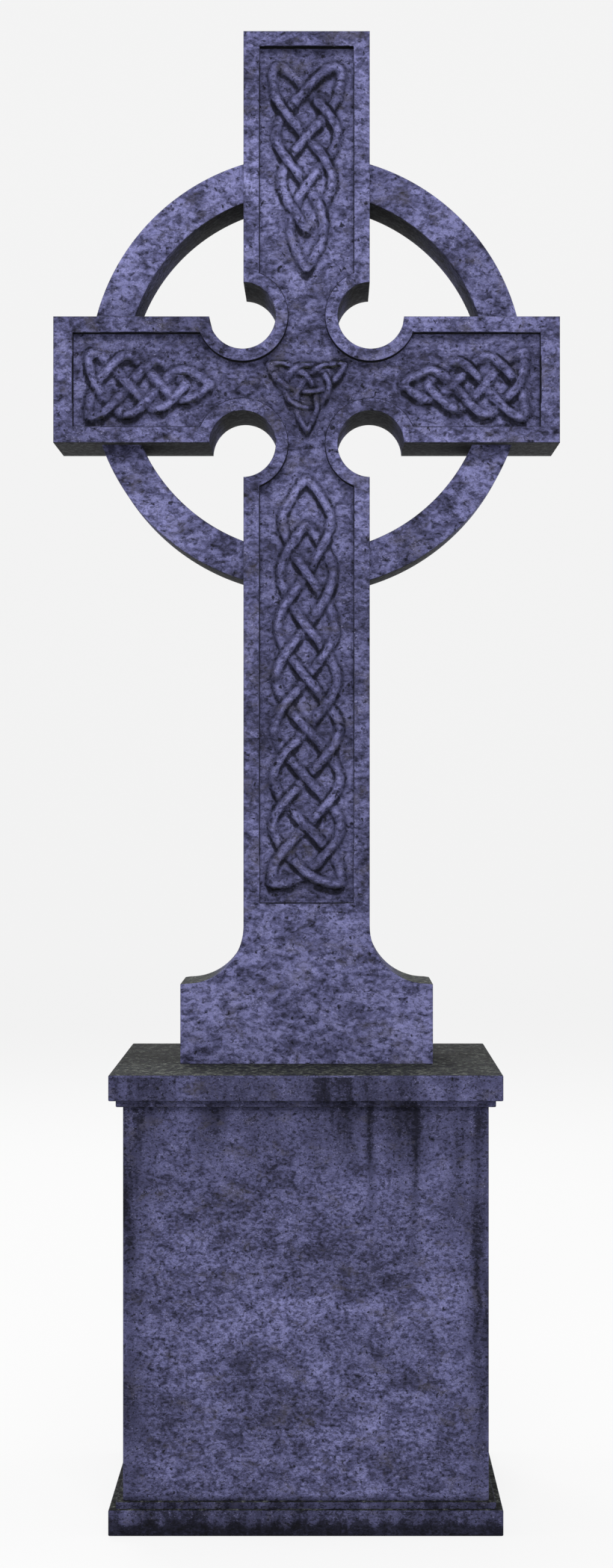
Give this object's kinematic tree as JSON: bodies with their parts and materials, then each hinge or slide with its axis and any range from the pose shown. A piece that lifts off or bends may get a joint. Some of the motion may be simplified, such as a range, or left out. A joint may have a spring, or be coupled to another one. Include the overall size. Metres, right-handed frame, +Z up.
{
  "type": "celtic cross gravestone",
  "caption": "Wheel-headed stone cross with knotwork carved in a sunk field, standing on a square pedestal with stepped cap and foot.",
  "frame": {"origin": "middle of the pedestal's underside, at ground level", "axes": "+Z up along the shaft, -Y out of the carved front, +X to the right of someone who looks at the front"},
  "size_m": [0.722, 0.54, 2.1023],
  "materials": {
    "pedestal_stone": "weathered, mottled blue-violet stone with dark run stains and a soil stain along its foot",
    "cross_stone": "weathered, mottled blue-violet stone, near black on its undersides and reveals"
  },
  "bodies": {
    "root": {"pedestal": "pedestal_stone", "cross": "cross_stone"}
  },
  "joints": []
}
